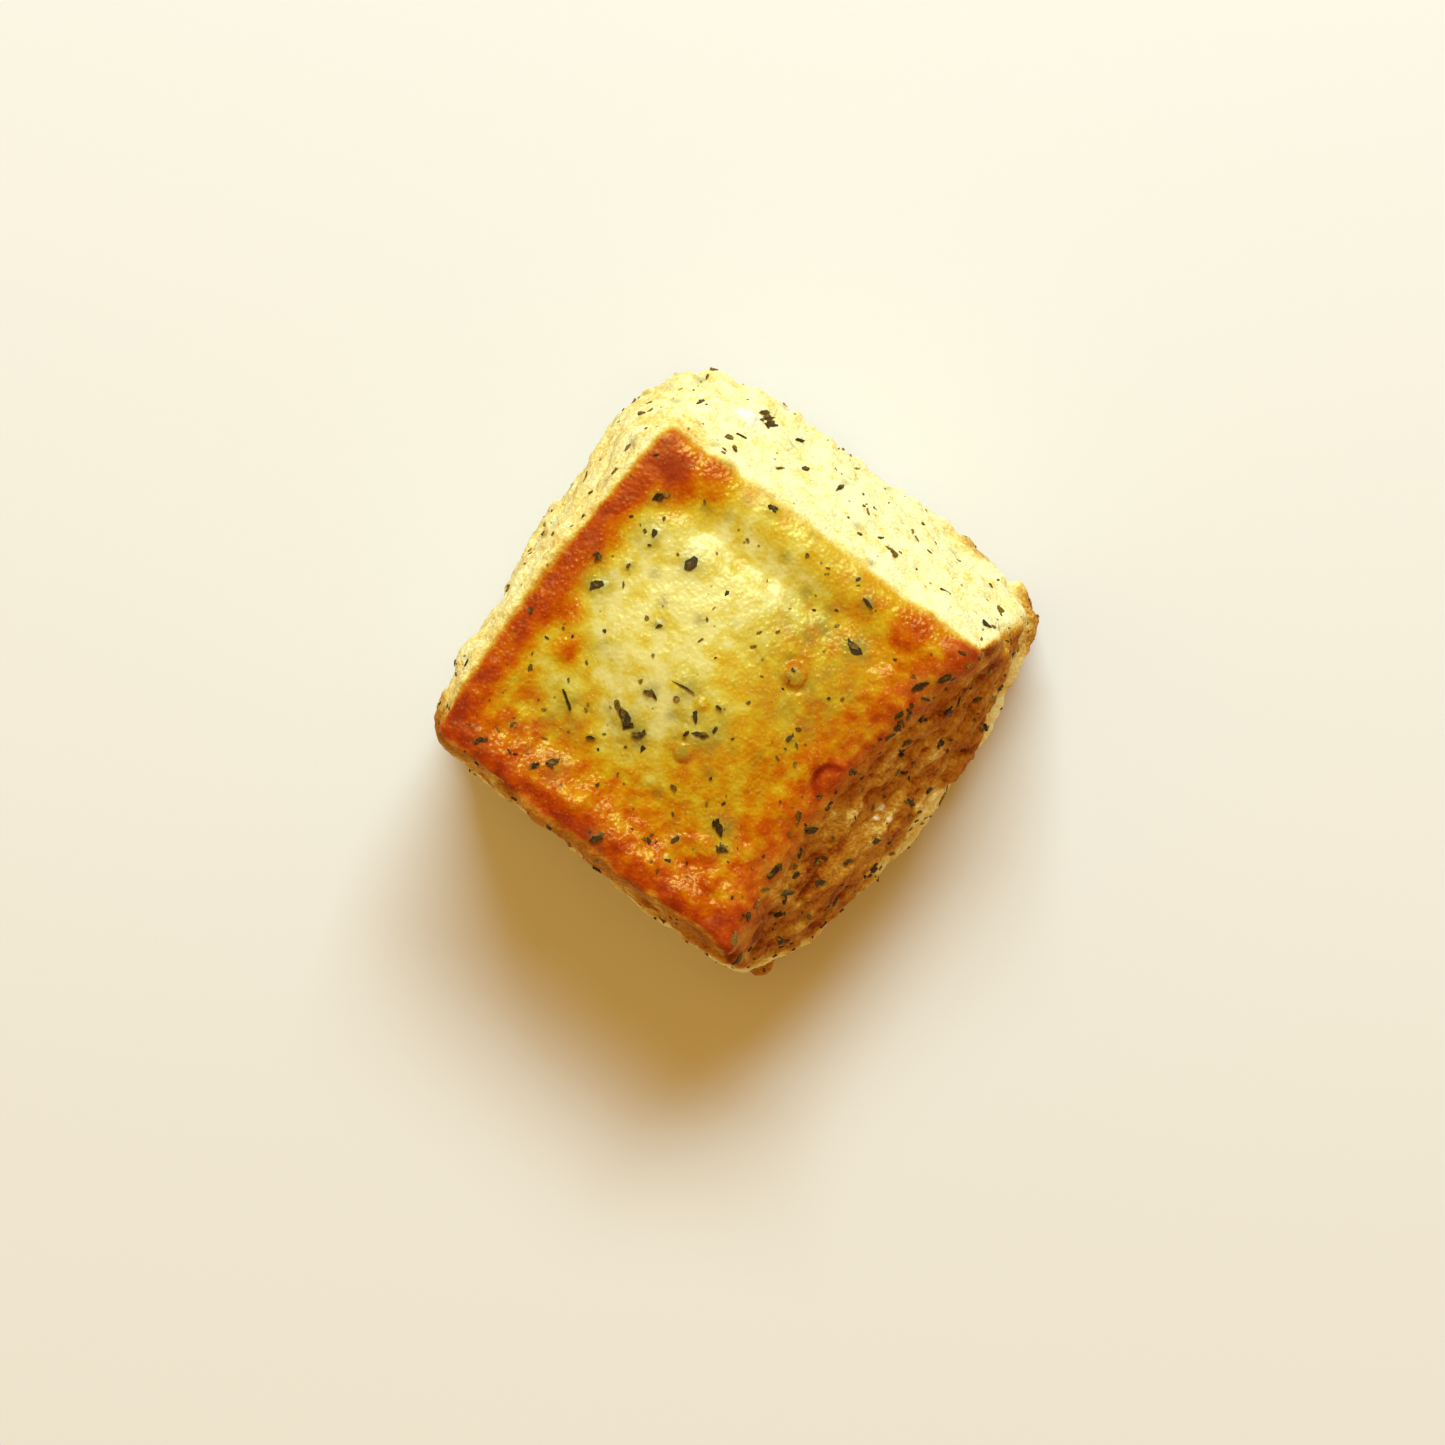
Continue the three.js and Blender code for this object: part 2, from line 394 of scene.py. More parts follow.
def top_relief(place):
    """The top crust: plateau, bubbles, the crease, the lumpy -Y and +X parts, raised flakes."""
    points = place.points
    lumpy = np.maximum(smooth(place.in_minus_y, 20.0, 8.0), smooth(place.in_plus_x, 11.0, 3.0))
    relief = 0.22 * swells(points, 7.0, 5) + lumpy * 0.42 * swells(points, 4.0, 6, 3)
    relief += (0.07 + 0.08 * lumpy) * swells(points, 1.5, 7, 3)
    for x, y, length, width, _ in TOP_FLAKES:
        relief += 0.3 * bell(from_spot(points, x, y), 0.4 * (length + width))
    return relief + blister_relief(points) + plateau_relief(place) - 0.9 * crease(points)


def shape_dough(piece):
    """Moves the layers out and in first, then the crumb and the crust along the new surface."""
    mesh = piece.data
    place = Places(mesh)
    points = place.points
    level = place.facing * (1, 1, 0.15)
    layers = layer_relief(points) + split_relief(points, place)
    coarse = points + level * (place.side * layers)[:, None]
    coarse[:, 2] = np.maximum(coarse[:, 2], 0.0)
    set_coordinates(mesh, coarse)

    place.crumb = crumb_relief(place)
    relief = place.side * place.crumb + place.top * top_relief(place)
    shaped = coarse + normals(mesh) * relief[:, None]
    flat = place.base > 0.9
    shaped[flat] = points[flat]
    shaped[:, 2] = np.maximum(shaped[:, 2], 0.0)
    set_coordinates(mesh, shaped)
    return place


# ---- Browning --------------------------------------------------------------------------------

TRAY_BROWN = 0.78  # where the dough touched the tray
# Browner places on the top crust: x, y, radius, how brown.
TOP_SPOTS = (
    (-24.0, 16.0, 6.0, 1.0),
    (-18.5, 18.8, 4.6, 0.74),
    (-26.5, -32.0, 7.0, 0.88),
    (21.0, -31.0, 8.5, 0.9),
    (26.0, 19.0, 6.5, 1.0),
    (17.5, 18.2, 5.5, 0.8),
    (10.5, 18.8, 3.2, 0.5),
    (-20.2, -12.8, 3.2, 0.62),
    (-24.5, -9.0, 3.4, 0.75),
    (19.5, -5.0, 3.4, 0.72),
    (7.8, -19.0, 4.2, 0.52),
    (16.0, -17.0, 4.6, 0.68),
    (11.5, -27.0, 4.4, 0.8),
)
# Browner places low on the sides, seen from above, in the same order.
SIDE_SPOTS = (
    (17.0, 35.4, 3.0, 0.5),
    (29.4, 32.4, 4.0, 0.72),
    (32.0, 28.6, 3.0, 0.6),
    (34.0, -21.5, 5.0, 0.6),
    (28.0, -32.5, 5.0, 0.62),
    (-27.6, 28.4, 2.0, 0.45),
)
# Browner places high on the sides, at the top's -X corners.
RIM_SPOTS = (
    (-29.0, -35.0, 7.0, 0.75),
    (-25.0, 21.0, 3.2, 0.4),
)
# Places on the top that herbs under the glaze tint green: x, y, radius, how green.
STAINS = (
    (1.5, -10.6, 3.6, 0.75),
    (-6.5, -15.8, 3.0, 0.45),
    (4.5, 10.5, 5.0, 0.5),
    (10.0, 3.0, 7.0, 0.42),
    (7.2, 3.3, 1.7, 1.0),
    (1.3, -14.6, 1.3, 0.7),
    (-16.3, -9.6, 2.2, 0.5),
    (-22.6, -3.0, 2.6, 0.55),
    (-20.8, 6.8, 2.6, 0.5),
    (-16.0, -20.5, 4.5, 0.4),
    (1.6, 4.6, 3.5, 0.4),
    (-12.8, -27.4, 2.6, 0.5),
)


def top_browning(place, blotch, fleck):
    """The glazed top: an orange band along -X, brown corners and a golden, patchy -Y third, with
    painted shade in the crease and browner rings round the bubbles.
    """
    drift = 1.2 * blotch + 0.4 * fleck
    band = 0.86 * smooth(place.in_minus_x + drift, 8.0, 1.6)
    back = 0.26 * smooth(place.in_plus_y + drift, 7.5, 1.0)
    front = 0.64 * smooth(place.in_minus_y + 7.0 * blotch, 22.0, 4.0)
    lip = 0.86 * smooth(place.in_minus_y + drift, 6.0, 1.5)
    right = 0.66 * smooth(place.in_plus_x + 5.0 * blotch, 13.0, 1.0)
    golden = 0.4 * smooth(place.in_minus_x + 6.0 * blotch, 20.0, 40.0)
    shoulder = 0.84 * smooth(place.in_plus_x + 1.8 * blotch, 3.0, -1.5)
    brown = greatest(0.06 + 0.16 * blotch, band, back, front, lip, right, shoulder, golden)
    for x, y, radius, depth in TOP_SPOTS:
        brown = np.maximum(brown, depth * spot(place.points, x, y, radius))
    # Browner rings round the bubbles: partly the glaze's own browner edge, partly painted shade at
    # their foot.
    for x, y, radius, _ in BUBBLES:
        brown += 0.2 * bell(from_spot(place.points, x, y) - 0.9 * radius, 0.4)
    patchy = greatest(smooth(place.in_minus_y, 26.0, 10.0), smooth(place.in_plus_x, 12.0, 3.0))
    pale_edge = 0.2 * smooth(place.in_minus_x, 1.0, -0.4)
    # Painted shade: the crease is painted browner, standing for the shade that falls in it.
    brown += 0.4 * crease(place.points)
    return brown - pale_edge + fleck * (0.1 + 0.12 * patchy) + 0.16 * patchy * blotch


def side_browning(place, blotch, fleck):
    """The sides: pale on -X and +Y, tanned on +X and -Y, with a brown crust at the tray."""
    points = place.points
    height = points[:, 2]
    torn = 0.2 * swells(points * (0.3, 0.3, 2.0), 3.0, 33) - 0.15 * place.crumb + 0.12 * fleck
    upper = smooth(height + 2.5 * blotch, 17.0, 26.0)
    lip = smooth(height + 1.2 * blotch, 6.5, 8.5) * (1.0 - upper)
    front_lip = smooth(height + 2.5 * blotch, 33.0, 24.0)
    under_rim = smooth(height + 2.5 * blotch, TOP_EDGE_HEIGHT - 9.0, TOP_EDGE_HEIGHT - 1.0)
    pale = 0.04 + 0.07 * blotch + 0.05 * fleck + 0.1 * place.minus_x
    plus_x = place.plus_x * (0.5 + upper * (0.16 + 0.2 * blotch) - 0.4 * lip + 0.24 * under_rim)
    minus_y = place.minus_y * (0.34 + 0.12 * blotch - 0.3 * front_lip + 0.25 * under_rim)
    tray = TRAY_BROWN * smooth(height + 1.6 * blotch, 4.6, 1.2)
    front = smooth(place.in_minus_y, 3.0, 0.5)
    rim = smooth(height + 1.5 * blotch, TOP_EDGE_HEIGHT - 3.0, TOP_EDGE_HEIGHT)
    rim = (0.2 + 0.42 * front) * rim
    tanned = pale + plus_x + minus_y + torn * (place.plus_x + 0.7 * place.minus_y)
    low = smooth(height, 20.0, 12.0)
    high = smooth(height, 25.0, 35.0)
    spots = [low * depth * spot(points, x, y, radius) for x, y, radius, depth in SIDE_SPOTS]
    spots += [high * depth * spot(points, x, y, radius) for x, y, radius, depth in RIM_SPOTS]
    return greatest(tanned, tray, rim, *spots)


def white_curd(points):
    """Where the white curd and the loose crumbs show on the sides."""
    ragged = 0.25 * swells(points, 1.4, 52)
    crumbs = [lump(points, x, y, CRUMB_RADIUS) for x, y in CRUMBS]
    return smooth(greatest(lump(points, *CURD, 2.3), *crumbs) + ragged, 0.35, 0.6)


def green_stain(points):
    """Where herbs under the glaze tint the top crust."""
    green = np.zeros(len(points))
    for x, y, radius, depth in STAINS:
        green = np.maximum(green, depth * spot(points, x, y, radius))
    for x, y, length, width, _ in TOP_FLAKES:
        green = np.maximum(green, 0.75 * spot(points, x, y, 0.5 * (length + width)))
    return green * (0.85 + 0.9 * swells(points, 2.2, 51))


def paint_dough(piece, place):
    """Stores how brown, glazed and green the surface is, and where it is crust or curd."""
    points = place.points
    blotch = swells(points, 7.0, 31, 3)
    fleck = swells(points, 2.2, 32, 2)
    top = top_browning(place, blotch, fleck)
    side = side_browning(place, blotch, fleck)
    dull = 0.7 * smooth(top, 0.7, 1.0)
    paint(piece.data, "brown", place.top * top + place.side * side + place.base * TRAY_BROWN)
    paint(piece.data, "crust", place.top)
    paint(piece.data, "gloss", place.top * smooth(place.in_plus_x, -0.5, 4.0) * (1.0 - dull))
    paint(piece.data, "green", place.top * green_stain(points))
    paint(piece.data, "curd", place.side * white_curd(points))


# ---- Herb flakes -----------------------------------------------------------------------------

# The larger flakes of the sides, seen from above, with the values of TOP_FLAKES.
LARGE_SIDE_FLAKES = (
    (33.9, 14.4, 1.8, 1.0, 80),
    (30.0, 8.5, 2.2, 1.1, 60),
    (25.9, 3.9, 1.4, 0.8, 30),
    (22.4, -12.5, 2.1, 1.1, 50),
    (31.0, -8.2, 1.5, 0.9, 70),
    (31.6, -0.8, 1.6, 0.8, 20),
    (33.4, -11.7, 2.0, 1.2, 60),
    (25.9, -15.6, 1.3, 0.7, 80),
    (26.1, -24.9, 1.8, 0.9, 50),
    (25.1, -21.8, 1.9, 0.7, 30),
    (30.7, 25.3, 1.7, 1.3, 70),
    (28.3, 2.0, 1.2, 0.6, 40),
    (-19.2, 26.1, 2.0, 0.5, 20),
    (-12.3, 25.6, 1.8, 0.4, 40),
    (-9.1, 28.0, 2.0, 1.2, 60),
    (-3.6, 28.9, 1.5, 0.7, 80),
    (-12.6, 31.2, 1.3, 0.6, 30),
    (5.3, 26.5, 1.2, 0.6, 60),
    (17.0, 25.9, 2.2, 0.6, 0),
    (-27.0, 27.0, 1.6, 1.2, 60),
    (23.3, 6.3, 1.5, 1.0, 70),
    (25.6, 9.6, 1.7, 1.0, 40),
    (27.8, 12.6, 1.5, 0.7, 80),
    (30.2, 16.6, 1.4, 0.9, 60),
    (32.0, 20.0, 1.6, 0.9, 90),
    (20.4, -8.0, 1.3, 0.8, 60),
    (23.0, -16.0, 1.6, 0.8, 30),
    (24.6, -19.0, 1.7, 1.0, 70),
    (28.0, -18.0, 1.6, 1.0, 50),
    (22.5, -27.5, 1.6, 0.9, 40),
    (28.8, -28.0, 1.8, 0.9, 60),
    (31.8, -19.0, 1.9, 0.9, 40),
    (29.5, -13.0, 1.4, 0.9, 80),
)
# Small flakes of each side: the way it faces, how many, the longest, and the darkest's shade.
SMALL_SIDE_FLAKES = (
    (Vector((1, 0, 0)), 230, 2.6, 0.0),
    (Vector((0, -1, 0)), 150, 2.8, 0.0),
    (Vector((-1, 0, 0)), 110, 1.8, 0.5),
    (Vector((0, 1, 0)), 90, 1.7, 0.5),
)
SMALL_TOP_FLAKES = 120
SMALL_TOP_X = (-28, 25)
SMALL_TOP_Y = (-34, 20)
PIT_FLAKES = 9
FRAGMENTS = 3  # that lie on and round each broad flake
SLENDER = 0.6  # flakes up to this width have no fragments
HERB_SEED = 71
RAY_START = 100  # well outside the dough
SIDE_REACH = 36  # half the width of a side
SIDE_FLAKES_FROM = 1.5  # height above the floor
SIDE_FLAKES_CLEAR = 2.0  # of the highest point


def flake_outline(draw, length, width):
    """A torn leaf fragment seen flat: a few sharp corners at uneven places round an oval."""
    count = draw.choice((5, 6, 7, 8))
    corners = []
    for i in range(count):
        turn = 2 * math.pi * (i + draw.uniform(-0.3, 0.3)) / count
        reach = draw.uniform(0.6, 1.4)
        x = math.cos(turn) * reach * length / 2
        y = math.sin(turn) * reach * width / 2
        corners.append(Vector((x, y, 0)))
    return corners


def level_with(up):
    """Turns Z to the surface's normal. X stays towards +X on the top and horizontal on a side."""
    along = Vector((1, 0, 0)) if up.z > 0.6 else Vector((0, 0, 1)).cross(up)
    across = up.cross(along).normalized()
    return Matrix((across.cross(up), across, up)).transposed().to_4x4()


class Flakes:
    """Herb flakes gathered into one mesh, laid on the finished surface of the dough."""

    def __init__(self, dough):
        mesh = dough.data
        corners = [vertex.co for vertex in mesh.vertices]
        faces = [polygon.vertices for polygon in mesh.polygons]
        self.surface = BVHTree.FromPolygons(corners, faces)
        self.shell = bmesh.new()
        self.shade = self.shell.verts.layers.float.new("shade")
        self.draw = random.Random(HERB_SEED)

    def add_ring(self, place, outline, lift, curl, shade):
        """The corners of one of a flake's two faces."""
        ring = []
        for corner in outline:
            bend = curl * corner.x * corner.x
            vertex = self.shell.verts.new(place @ Vector((corner.x, corner.y, lift + bend)) * MM)
            vertex[self.shade] = shade
            ring.append(vertex)
        return ring

    def add(self, place, length, width, shade):
        """One curled flake, a closed sliver, pressed a little into the surface."""
        thick = self.draw.uniform(0.08, 0.2)
        curl = self.draw.uniform(-0.2, 0.4) / max(length, 0.8)
        place = place @ Matrix.Rotation(self.draw.uniform(-0.22, 0.22), 4, "X")
        outline = flake_outline(self.draw, length, width)
        lower = self.add_ring(place, outline, -thick, curl, shade)
        upper = self.add_ring(place, outline, thick * 1.3, curl, shade)
        self.shell.faces.new(list(reversed(lower)))
        self.shell.faces.new(upper)
        for i in range(len(outline)):
            j = (i + 1) % len(outline)
            self.shell.faces.new((lower[i], lower[j], upper[j], upper[i]))

    def lay(self, start, towards, turn, length, width, shade):
        """Lays one flake where a ray from start first meets the dough."""
        at, up, _, _ = self.surface.ray_cast(start * MM, towards.normalized())
        if at is not None:
            place = Matrix.Translation(at / MM) @ level_with(up) @ Matrix.Rotation(turn, 4, "Z")
            self.add(place, length, width, shade)

    def lay_down(self, x, y, turn, length, width, shade):
        """Lays one flake at a place seen from above."""
        start = Vector((x + BASE_MIDDLE[0], y + BASE_MIDDLE[1], RAY_START))
        self.lay(start, Vector((0, 0, -1)), turn, length, width, shade)

    def lay_large(self):
        """The larger flakes of the top and the sides, the broad ones in several fragments."""
        for x, y, length, width, degrees in TOP_FLAKES + LARGE_SIDE_FLAKES:
            turn = math.radians(degrees)
            self.lay_down(x, y, turn, 0.9 * length, 0.8 * width, self.draw.uniform(0.0, 0.4))
            if width > SLENDER:
                self.lay_fragments(x, y, turn, length, width)

    def lay_fragments(self, x, y, turn, length, width):
        """Smaller pieces strewn along a flake, each turned a little from it."""
        for _ in range(FRAGMENTS):
            along = self.draw.gauss(0, 0.25 * length)
            x_along = x + along * math.cos(turn) + self.draw.gauss(0, 0.2 * width)
            y_along = y + along * math.sin(turn) + self.draw.gauss(0, 0.2 * width)
            share = self.draw.uniform(0.3, 0.6)
            askew = turn + self.draw.uniform(-0.9, 0.9)
            shade = self.draw.uniform(0.1, 0.8)
            self.lay_down(x_along, y_along, askew, share * length, share * width, shade)

    def lay_small_on_top(self):
        for _ in range(SMALL_TOP_FLAKES):
            x = self.draw.uniform(*SMALL_TOP_X)
            y = self.draw.uniform(*SMALL_TOP_Y)
            length = self.draw.uniform(0.35, 1.0)
            width = length * self.draw.uniform(0.3, 0.8)
            self.lay_down(x, y, self.draw.uniform(0, math.pi), length, width, self.draw.random())

    def lay_pit(self):
        """A bunch of slender herb pieces in the pit."""
        for _ in range(PIT_FLAKES):
            x = PIT[0] + self.draw.gauss(0, 1.0)
            y = PIT[1] + self.draw.gauss(0, 0.7)
            turn = self.draw.gauss(0.5, 0.5)
            self.lay_down(x, y, turn, self.draw.uniform(1.4, 2.8), 0.7, self.draw.uniform(0.2, 0.8))

    def lay_small_on_sides(self):
        for facing, count, longest, darkest in SMALL_SIDE_FLAKES:
            along = facing.cross(Vector((0, 0, 1)))
            for _ in range(count):
                start = RAY_START * facing + self.draw.uniform(-SIDE_REACH, SIDE_REACH) * along
                start.z = self.draw.uniform(SIDE_FLAKES_FROM, HEIGHT - SIDE_FLAKES_CLEAR)
                length = 0.35 + self.draw.betavariate(1.2, 4.4) * longest
                width = length * self.draw.uniform(0.25, 0.65)
                turn = self.draw.uniform(-1.2, 1.2)
                shade = self.draw.uniform(darkest, 1.0)
                self.lay(start, -facing, turn, length, width, shade)

    def piece(self):
        """The object that all the flakes make together."""
        mesh = bpy.data.meshes.new("herb_flakes")
        bmesh.ops.recalc_face_normals(self.shell, faces=self.shell.faces)
        self.shell.to_mesh(mesh)
        self.shell.free()
        return link("herb_flakes", mesh)


# ---- Materials -------------------------------------------------------------------------------


def linear(red, green, blue):
    """A colour given as 0-255 display values, as the shader takes it."""
    def channel(value):
        share = value / 255
        return share / 12.92 if share <= 0.04045 else ((share + 0.055) / 1.055) ** 2.4
    return (channel(red), channel(green), channel(blue), 1.0)


class Nodes:
    """Short calls to build a material's node tree."""

    def __init__(self, name):
        self.material = bpy.data.materials.new(name)
        self.material.use_nodes = True
        self.tree = self.material.node_tree
        self.shader = self.tree.nodes["Principled BSDF"]

    def add(self, kind, **inputs):
        node = self.tree.nodes.new(kind)
        for key, value in inputs.items():
            self.plug(node, key.replace("_", " "), value)
        return node

    def plug(self, node, socket, value):
        if isinstance(value, bpy.types.NodeSocket):
            self.tree.links.new(value, node.inputs[socket])
        else:
            node.inputs[socket].default_value = value

    def attribute(self, name):
        node = self.tree.nodes.new("ShaderNodeAttribute")
        node.attribute_name = name
        return node.outputs["Fac"]

    def millimetres(self):
        """The place on the object, in millimetres, for textures sized in millimetres."""
        place = self.tree.nodes.new("ShaderNodeTexCoord").outputs["Object"]
        node = self.tree.nodes.new("ShaderNodeVectorMath")
        node.operation = "SCALE"
        node.inputs["Scale"].default_value = 1 / MM
        self.tree.links.new(place, node.inputs[0])
        return node.outputs["Vector"]

    def noise(self, where, size, detail=2.0):
        node = self.add("ShaderNodeTexNoise", Vector=where, Scale=1 / size, Detail=detail)
        return node.outputs["Fac"]

    def cells(self, where, size, share, near, far):
        """Round dots in a share of the cells: 1 within near of a cell's middle, 0 beyond far."""
        cells = self.add("ShaderNodeTexVoronoi", Vector=where, Scale=1 / size)
        lot = self.add("ShaderNodeSeparateColor", Color=cells.outputs["Color"]).outputs[0]
        chosen = self.math("LESS_THAN", lot, share)
        dots = self.span(cells.outputs["Distance"], near, far, 1.0, 0.0)
        return self.math("MULTIPLY", dots, chosen)

    def pebbles(self, where, size):
        """Low domes packed side by side, each about size across."""
        node = self.add("ShaderNodeTexVoronoi", Vector=where, Scale=1 / size)
        node.feature = "SMOOTH_F1"
        return self.math("SUBTRACT", 1.0, node.outputs["Distance"])

    def math(self, operation, first, second=0.0, clamp=False):
        node = self.tree.nodes.new("ShaderNodeMath")
        node.operation = operation
        node.use_clamp = clamp
        self.plug(node, 0, first)
        self.plug(node, 1, second)
        return node.outputs["Value"]

    def span(self, value, low, high, to_low=0.0, to_high=1.0):
        node = self.tree.nodes.new("ShaderNodeMapRange")
        self.plug(node, "Value", value)
        self.plug(node, "From Min", low)
        self.plug(node, "From Max", high)
        self.plug(node, "To Min", to_low)
        self.plug(node, "To Max", to_high)
        return node.outputs["Result"]

    def spread(self, noise, to_low, to_high):
        """Noise, most of which lies between 0.3 and 0.7, spread over another span."""
        return self.span(noise, 0.3, 0.7, to_low, to_high)

    def ramp(self, value, stops):
        node = self.tree.nodes.new("ShaderNodeValToRGB")
        self.plug(node, "Fac", value)
        ramp = node.color_ramp
        while len(ramp.elements) < len(stops):
            ramp.elements.new(0.5)
        for element, (place, colour) in zip(ramp.elements, stops):
            element.position = place
            element.color = colour
        return node.outputs["Color"]

    def mix(self, share, first, second, blend="MIX"):
        node = self.tree.nodes.new("ShaderNodeMix")
        node.data_type = "RGBA"
        node.blend_type = blend
        self.plug(node, 0, share)
        self.plug(node, 6, first)
        self.plug(node, 7, second)
        return node.outputs[2]

    def bump(self, height, distance, strength=1.0):
        node = self.add("ShaderNodeBump", Height=height, Distance=distance * MM, Strength=strength)
        return node.outputs["Normal"]


# Colours by how brown the dough is, from pale to deeply baked.
TOP_COLOURS = (
    (0.0, linear(220, 207, 124)),
    (0.14, linear(208, 186, 62)),
    (0.3, linear(202, 162, 22)),
    (0.5, linear(198, 124, 4)),
    (0.66, linear(188, 86, 0)),
    (0.82, linear(172, 55, 0)),
    (1.0, linear(144, 27, 0)),
)
SIDE_COLOURS = (
    (0.0, linear(240, 236, 182)),
    (0.2, linear(236, 212, 126)),
    (0.5, linear(194, 136, 38)),
    (0.8, linear(166, 90, 10)),
    (1.0, linear(128, 50, 0)),
)
HERB_COLOURS = (
    (0.0, linear(34, 22, 4)),
    (0.4, linear(70, 50, 10)),
    (0.75, linear(118, 90, 22)),
    (1.0, linear(164, 126, 42)),
)
GREEN_TINT = linear(140, 128, 50)
BLURRED_HERB = linear(112, 98, 34)
SPECK = linear(66, 58, 24)
# The colour of the painted highlights: tiny glints painted into the glaze.
PAINTED_GLINT = linear(255, 226, 140)
CURD_WHITE = linear(244, 240, 218)

# Sizes in the dough's material, in millimetres.
BLUR_CELL = 4.6  # spacing of the herbs under the glaze
SPECK_CELL = 2.0
PEBBLE = 0.65
BUMP_DEPTH = 0.17


def baked_colour(kit, grain, mottle):
    """The colour of the bare dough, from how brown it is, with grains and soft patches."""
    crust = kit.attribute("crust")
    coarse = kit.span(crust, 0.0, 1.0, 0.13, 0.04)
    grains = kit.math("MULTIPLY", kit.spread(grain, -1.0, 1.0), coarse)
    tone = kit.math("ADD", grains, kit.spread(mottle, -0.13, 0.13))
    toned = kit.math("ADD", kit.attribute("brown"), tone, clamp=True)
    return kit.mix(crust, kit.ramp(toned, SIDE_COLOURS), kit.ramp(toned, TOP_COLOURS))


def add_herb_tints(kit, colour, warp, mottle):
    """Green stains and herbs blurred by the glaze, both fainter where brown, and fine specks."""
    brown = kit.attribute("brown")
    baked = kit.span(brown, 0.35, 0.7, 1.0, 0.3)
    baked_over = kit.math("MULTIPLY", kit.spread(mottle, 0.5, 1.3), baked)
    stained = kit.math("MULTIPLY", kit.attribute("green"), baked_over, clamp=True)
    colour = kit.mix(stained, colour, GREEN_TINT)
    unbaked = kit.span(brown, 0.3, 0.8, 0.5, 0.1)
    blurred = kit.math("MULTIPLY", kit.cells(warp, BLUR_CELL, 0.5, 0.05, 0.3), unbaked)
    colour = kit.mix(blurred, colour, BLURRED_HERB)
    speck = kit.math("MULTIPLY", kit.cells(warp, SPECK_CELL, 0.4, 0.08, 0.14), 0.7)
    return kit.mix(speck, colour, SPECK)


def add_painted_glints(kit, colour, where):
    """Painted highlights: tiny bright points painted into the glaze's colour, sparser where it is
    brown.
    """
    sparse = kit.span(kit.attribute("brown"), 0.3, 0.9, 0.28, 0.08)
    painted_glints = kit.math("MULTIPLY", kit.span(kit.noise(where, 0.4, 1.0), 0.64, 0.72), sparse)
    return kit.mix(kit.math("MULTIPLY", painted_glints, kit.attribute("crust")), colour, PAINTED_GLINT)


def set_shine(kit, mottle):
    """A wet glaze on the top, matt crumb on the sides and a little light passing below both."""
    gloss = kit.attribute("gloss")
    rough = kit.math("ADD", kit.span(gloss, 0.0, 1.0, 0.85, 0.27), kit.spread(mottle, -0.07, 0.07))
    kit.plug(kit.shader, "Roughness", rough)
    pale = kit.span(kit.attribute("brown"), 0.08, 0.4, 0.8, 0.0)
    glazed = kit.math("MULTIPLY", kit.span(mottle, 0.35, 0.65, 0.5, 1.0), pale)
    kit.plug(kit.shader, "Coat Weight", kit.math("MULTIPLY", gloss, glazed))
    kit.shader.inputs["Coat Roughness"].default_value = 0.33
    kit.shader.inputs["Specular IOR Level"].default_value = 0.4
    kit.shader.inputs["Specular Tint"].default_value = (0.95, 0.9, 0.26, 1.0)
    kit.shader.inputs["Subsurface Weight"].default_value = 0.15
    kit.shader.inputs["Subsurface Radius"].default_value = (1.0, 0.6, 0.25)
    kit.shader.inputs["Subsurface Scale"].default_value = 1.2 * MM


def bump_height(kit, where, warp, grain):
    """Grains and crumb lumps, strongest on the sides, and pebbles, calmer on the pale glaze."""
    crust = kit.attribute("crust")
    grains = kit.math("MULTIPLY", grain, kit.span(crust, 0.0, 1.0, 1.8, 0.35))
    lumps = kit.math("MULTIPLY", kit.noise(where, 1.3, 3.0), kit.span(crust, 0.0, 0.6, 2.6, 0.0))
    where_pale = kit.span(kit.attribute("brown"), 0.1, 0.5, 0.65, 1.0)
    where_glossy = kit.span(kit.attribute("gloss"), 0.3, 0.8, 0.55, 1.0)
    calm = kit.math("MULTIPLY", where_pale, where_glossy)
    pebbles = kit.math("MULTIPLY", kit.pebbles(warp, PEBBLE), calm)
    return kit.math("ADD", kit.math("ADD", grains, lumps), pebbles)


def dough_material():
    kit = Nodes("baked_dough")
    where = kit.millimetres()
    grain = kit.noise(where, 0.5, 3.0)
    mottle = kit.noise(where, 2.4, 4.0)
    drift = kit.add("ShaderNodeTexNoise", Vector=where, Scale=0.9).outputs["Color"]
    warp = kit.mix(0.25, where, drift, "ADD")
    colour = baked_colour(kit, grain, mottle)
    colour = add_herb_tints(kit, colour, warp, mottle)
    # Painted highlights: bright points painted into the glaze's colour.
    colour = add_painted_glints(kit, colour, where)
    kit.plug(kit.shader, "Base Color", kit.mix(kit.attribute("curd"), colour, CURD_WHITE))
    set_shine(kit, mottle)
    height = bump_height(kit, where, warp, grain)
    kit.plug(kit.shader, "Normal", kit.bump(height, BUMP_DEPTH))
    return kit.material


def herb_material():
    kit = Nodes("herb_flakes")
    where = kit.millimetres()
    streak = kit.noise(where, 0.3, 2.0)
    shade = kit.math("MULTIPLY", kit.attribute("shade"), 0.75)
    tone = kit.math("ADD", shade, kit.spread(streak, -0.1, 0.4), clamp=True)
    kit.plug(kit.shader, "Base Color", kit.ramp(tone, HERB_COLOURS))
    kit.plug(kit.shader, "Roughness", kit.spread(streak, 0.5, 0.8))
    kit.shader.inputs["Specular IOR Level"].default_value = 0.2
    kit.plug(kit.shader, "Normal", kit.bump(streak, 0.1, 0.6))
    return kit.material


def floor_material():
    kit = Nodes("pale_floor")
    kit.shader.inputs["Base Color"].default_value = FLOOR_COLOUR
    kit.shader.inputs["Roughness"].default_value = 0.6
    return kit.material


# ---- Stage -----------------------------------------------------------------------------------

CAMERA_HEIGHT = 650.0
CAMERA_SPOT = (3.24, -7.98)  # what it looks straight down at, from the middle of the base crust
CAMERA_TURN = 37.2  # degrees, about Z
CAMERA_LENS = 108.1
SENSOR = 36.0

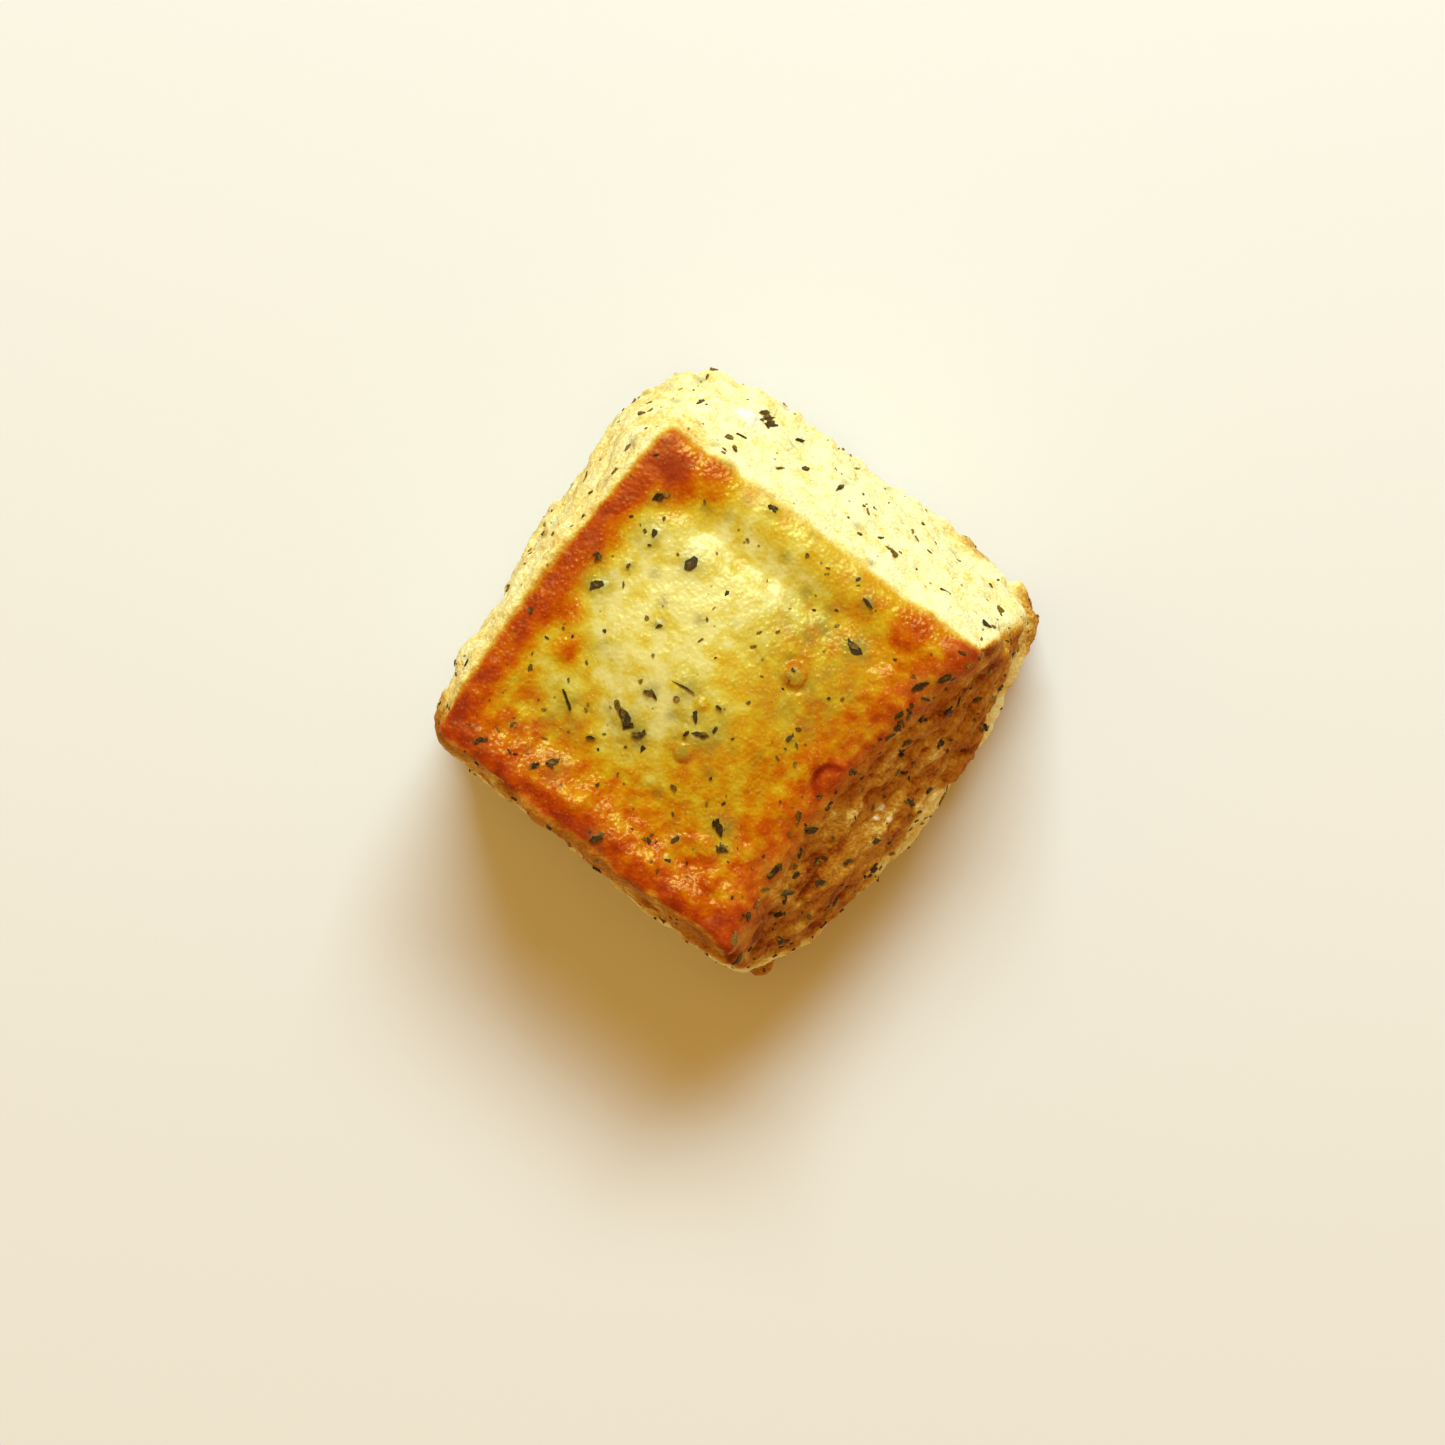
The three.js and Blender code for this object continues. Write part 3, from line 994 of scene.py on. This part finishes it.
# The one lamp is a large window beyond the top of the picture; its sizes are in metres.
WINDOW_TOWARDS = Vector((-0.53, 0.85, 0))
WINDOW_ELEVATION = 48.0
WINDOW_DISTANCE = 1.6
WINDOW_WIDTH = 1.0
WINDOW_HEIGHT = 0.55
WINDOW_COLOUR = (0.69, 0.92, 1.0)
WINDOW_POWER = 31.0
ROOM_COLOUR = (1.0, 0.56, 0.13, 1.0)
ROOM_STRENGTH = 0.6
FLOOR_COLOUR = linear(228, 227, 225)
FLOOR_REACH = 1.5  # metres, each way from the middle


def add_camera():
    data = bpy.data.cameras.new("camera")
    data.sensor_width = SENSOR
    data.lens = CAMERA_LENS
    data.clip_start = 0.01
    camera = link("camera", data)
    x, y = np.array(CAMERA_SPOT) + BASE_MIDDLE
    camera.location = (x * MM, y * MM, CAMERA_HEIGHT * MM)
    camera.rotation_euler = (0, 0, math.radians(CAMERA_TURN))
    bpy.context.scene.camera = camera


def add_window():
    data = bpy.data.lights.new("window", "AREA")
    data.shape = "RECTANGLE"
    data.size = WINDOW_WIDTH
    data.size_y = WINDOW_HEIGHT
    data.energy = WINDOW_POWER
    data.color = WINDOW_COLOUR
    light = link("window", data)
    rise = math.radians(WINDOW_ELEVATION)
    towards = WINDOW_TOWARDS.normalized() * math.cos(rise) + Vector((0, 0, math.sin(rise)))
    light.location = towards * WINDOW_DISTANCE
    light.rotation_euler = towards.to_track_quat("Z", "Y").to_euler()


def add_room():
    world = bpy.data.worlds.new("room")
    world.use_nodes = True
    background = world.node_tree.nodes["Background"]
    background.inputs["Color"].default_value = ROOM_COLOUR
    background.inputs["Strength"].default_value = ROOM_STRENGTH
    bpy.context.scene.world = world
    bpy.context.scene.view_settings.view_transform = "Standard"


def add_floor():
    mesh = bpy.data.meshes.new("floor")
    ways = ((-1, -1), (1, -1), (1, 1), (-1, 1))
    corners = [(x * FLOOR_REACH, y * FLOOR_REACH, 0) for x, y in ways]
    mesh.from_pydata(corners, [], [(0, 1, 2, 3)])
    floor = link("floor", mesh)
    mesh.materials.append(floor_material())


# ---- Build -----------------------------------------------------------------------------------

add_camera()
add_window()
add_room()
add_floor()

dough = fine_mesh()
places = shape_dough(dough)
paint_dough(dough, places)
dough.data.materials.append(dough_material())
dough.data.polygons.foreach_set("use_smooth", [True] * len(dough.data.polygons))
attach(dough, "root")
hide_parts("scone")

flakes = Flakes(dough)
flakes.lay_large()
flakes.lay_small_on_top()
flakes.lay_pit()
flakes.lay_small_on_sides()
herbs = flakes.piece()
herbs.data.materials.append(herb_material())
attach(herbs, "root")
